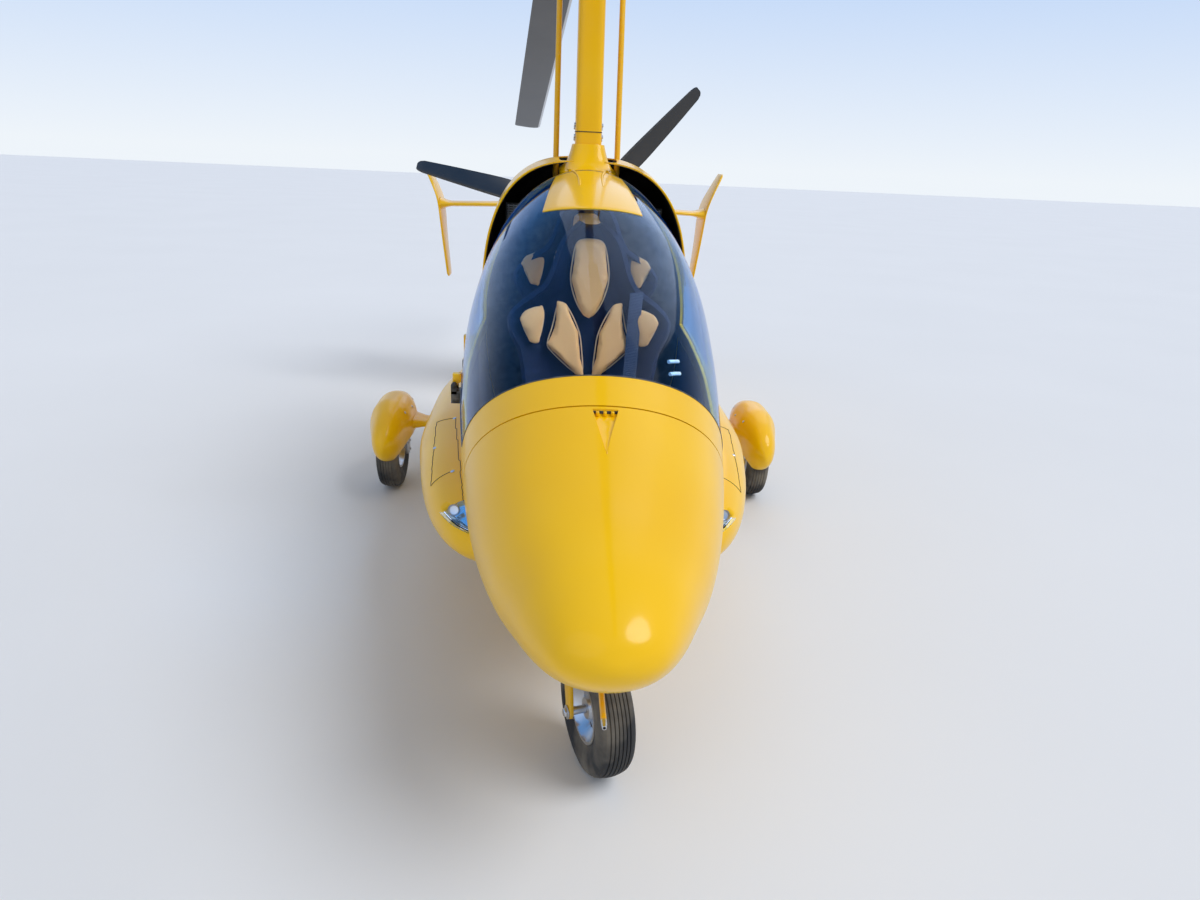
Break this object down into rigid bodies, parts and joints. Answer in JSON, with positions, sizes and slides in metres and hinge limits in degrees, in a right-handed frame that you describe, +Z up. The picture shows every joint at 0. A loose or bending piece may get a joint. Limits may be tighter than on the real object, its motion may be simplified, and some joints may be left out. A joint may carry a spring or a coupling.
{
  "type": "gyrocopter",
  "caption": "Enclosed gyrocopter with tandem seats under a tinted canopy, a free rotor on a mast, a pusher propeller, side pods, a tail on a boom and wheels in spats.",
  "frame": {"origin": "on the ground under the rotor hub", "axes": "+Z up, -Y towards the nose, +X to port"},
  "size_m": [2.0358, 8.1896, 3.6121],
  "materials": {
    "yellow_gloss": "gloss clear coat over composite",
    "yellow_metal": "gloss paint",
    "blue_glass": "blue tinted polycarbonate",
    "clear_lens": "clear",
    "black_plastic": "satin",
    "grey_lining": "carpet",
    "dark_grey_paint": "satin paint",
    "black_composite": "satin composite",
    "alloy": "machined",
    "tyre_rubber": "matt",
    "navy_leather": "satin",
    "tan_leather": "satin"
  },
  "bodies": {
    "airframe": {"cabin_bulkhead": "black_plastic", "cabin_floor": "grey_lining", "canopy_bracket_front": "black_plastic", "canopy_bracket_rear": "black_plastic", "control_stick": "black_plastic", "engine_block": "alloy", "engine_cowl": "yellow_gloss", "front_seat_back_pad": "tan_leather", "front_seat_seat_pad": "tan_leather", "front_seat_shell": "navy_leather", "fuselage_tub": "yellow_gloss", "gear_bow": "yellow_metal", "instrument_panel": "black_plastic", "landing_light_port": "clear_lens", "landing_light_starboard": "clear_lens", "mast": "yellow_metal", "mast_fairing": "yellow_gloss", "nose_collar": "yellow_metal", "pitot_tube": "yellow_metal", "push_rod_port": "yellow_metal", "push_rod_starboard": "yellow_metal", "radiator_port": "black_plastic", "radiator_starboard": "black_plastic", "rear_seat_back_pad": "tan_leather", "rear_seat_seat_pad": "tan_leather", "rear_seat_shell": "navy_leather", "rotor_head": "alloy", "spat_port": "yellow_gloss", "spat_starboard": "yellow_gloss", "sponson_port": "yellow_gloss", "sponson_starboard": "yellow_gloss", "stern_grille": "dark_grey_paint", "tail_boom": "yellow_metal", "tail_fin": "yellow_gloss", "tailplane_port": "yellow_gloss", "tailplane_starboard": "yellow_gloss"},
    "rotor": {"rotor_hub": "alloy", "rotor_blade_aft": "dark_grey_paint", "rotor_blade_fore": "dark_grey_paint"},
    "propeller": {"prop_hub": "alloy", "prop_blade_1": "black_composite", "prop_blade_2": "black_composite", "prop_blade_3": "black_composite"},
    "canopy": {"canopy_frame": "yellow_gloss", "canopy_glass": "blue_glass", "canopy_roof": "yellow_gloss"},
    "rudder": {"rudder": "yellow_gloss"},
    "nose_fork": {"nose_fork": "yellow_metal"},
    "nose_wheel": {"nose_tyre": "tyre_rubber", "nose_rim": "alloy"},
    "main_wheel_port": {"main_port_tyre": "tyre_rubber", "main_port_rim": "alloy"},
    "main_wheel_starboard": {"main_starboard_tyre": "tyre_rubber", "main_starboard_rim": "alloy"}
  },
  "joints": [
    {"name": "rotor_spin", "type": "hinge", "parent": "airframe", "child": "rotor", "pos_m": [0, 0, 2.7], "axis": [0, 0.2147, 0.9767], "continuous": true},
    {"name": "propeller_spin", "type": "hinge", "parent": "airframe", "child": "propeller", "pos_m": [0, 0.858, 1.28], "axis": [0, 1, 0], "continuous": true},
    {"name": "canopy_hinge", "type": "hinge", "parent": "airframe", "child": "canopy", "pos_m": [-0.452, -1.0975, 0.8], "axis": [0, -1, 0], "range_deg": [0, 78]},
    {"name": "rudder_hinge", "type": "hinge", "parent": "airframe", "child": "rudder", "pos_m": [0, 2.13, 1], "axis": [0, 0, 1], "range_deg": [-28, 28]},
    {"name": "nose_steer", "type": "hinge", "parent": "airframe", "child": "nose_fork", "pos_m": [0, -1.808, 0.38], "axis": [0, 0, 1], "range_deg": [-48, 12]},
    {"name": "nose_wheel_spin", "type": "hinge", "parent": "nose_fork", "child": "nose_wheel", "pos_m": [0.01545, -1.85555, 0.18], "axis": [0.9511, 0.309, 0], "continuous": true},
    {"name": "main_wheel_spin_port", "type": "hinge", "parent": "airframe", "child": "main_wheel_port", "pos_m": [0.877, 0.147, 0.2], "axis": [1, 0, 0], "continuous": true},
    {"name": "main_wheel_spin_starboard", "type": "hinge", "parent": "airframe", "child": "main_wheel_starboard", "pos_m": [-0.877, 0.147, 0.2], "axis": [1, 0, 0], "continuous": true}
  ]
}
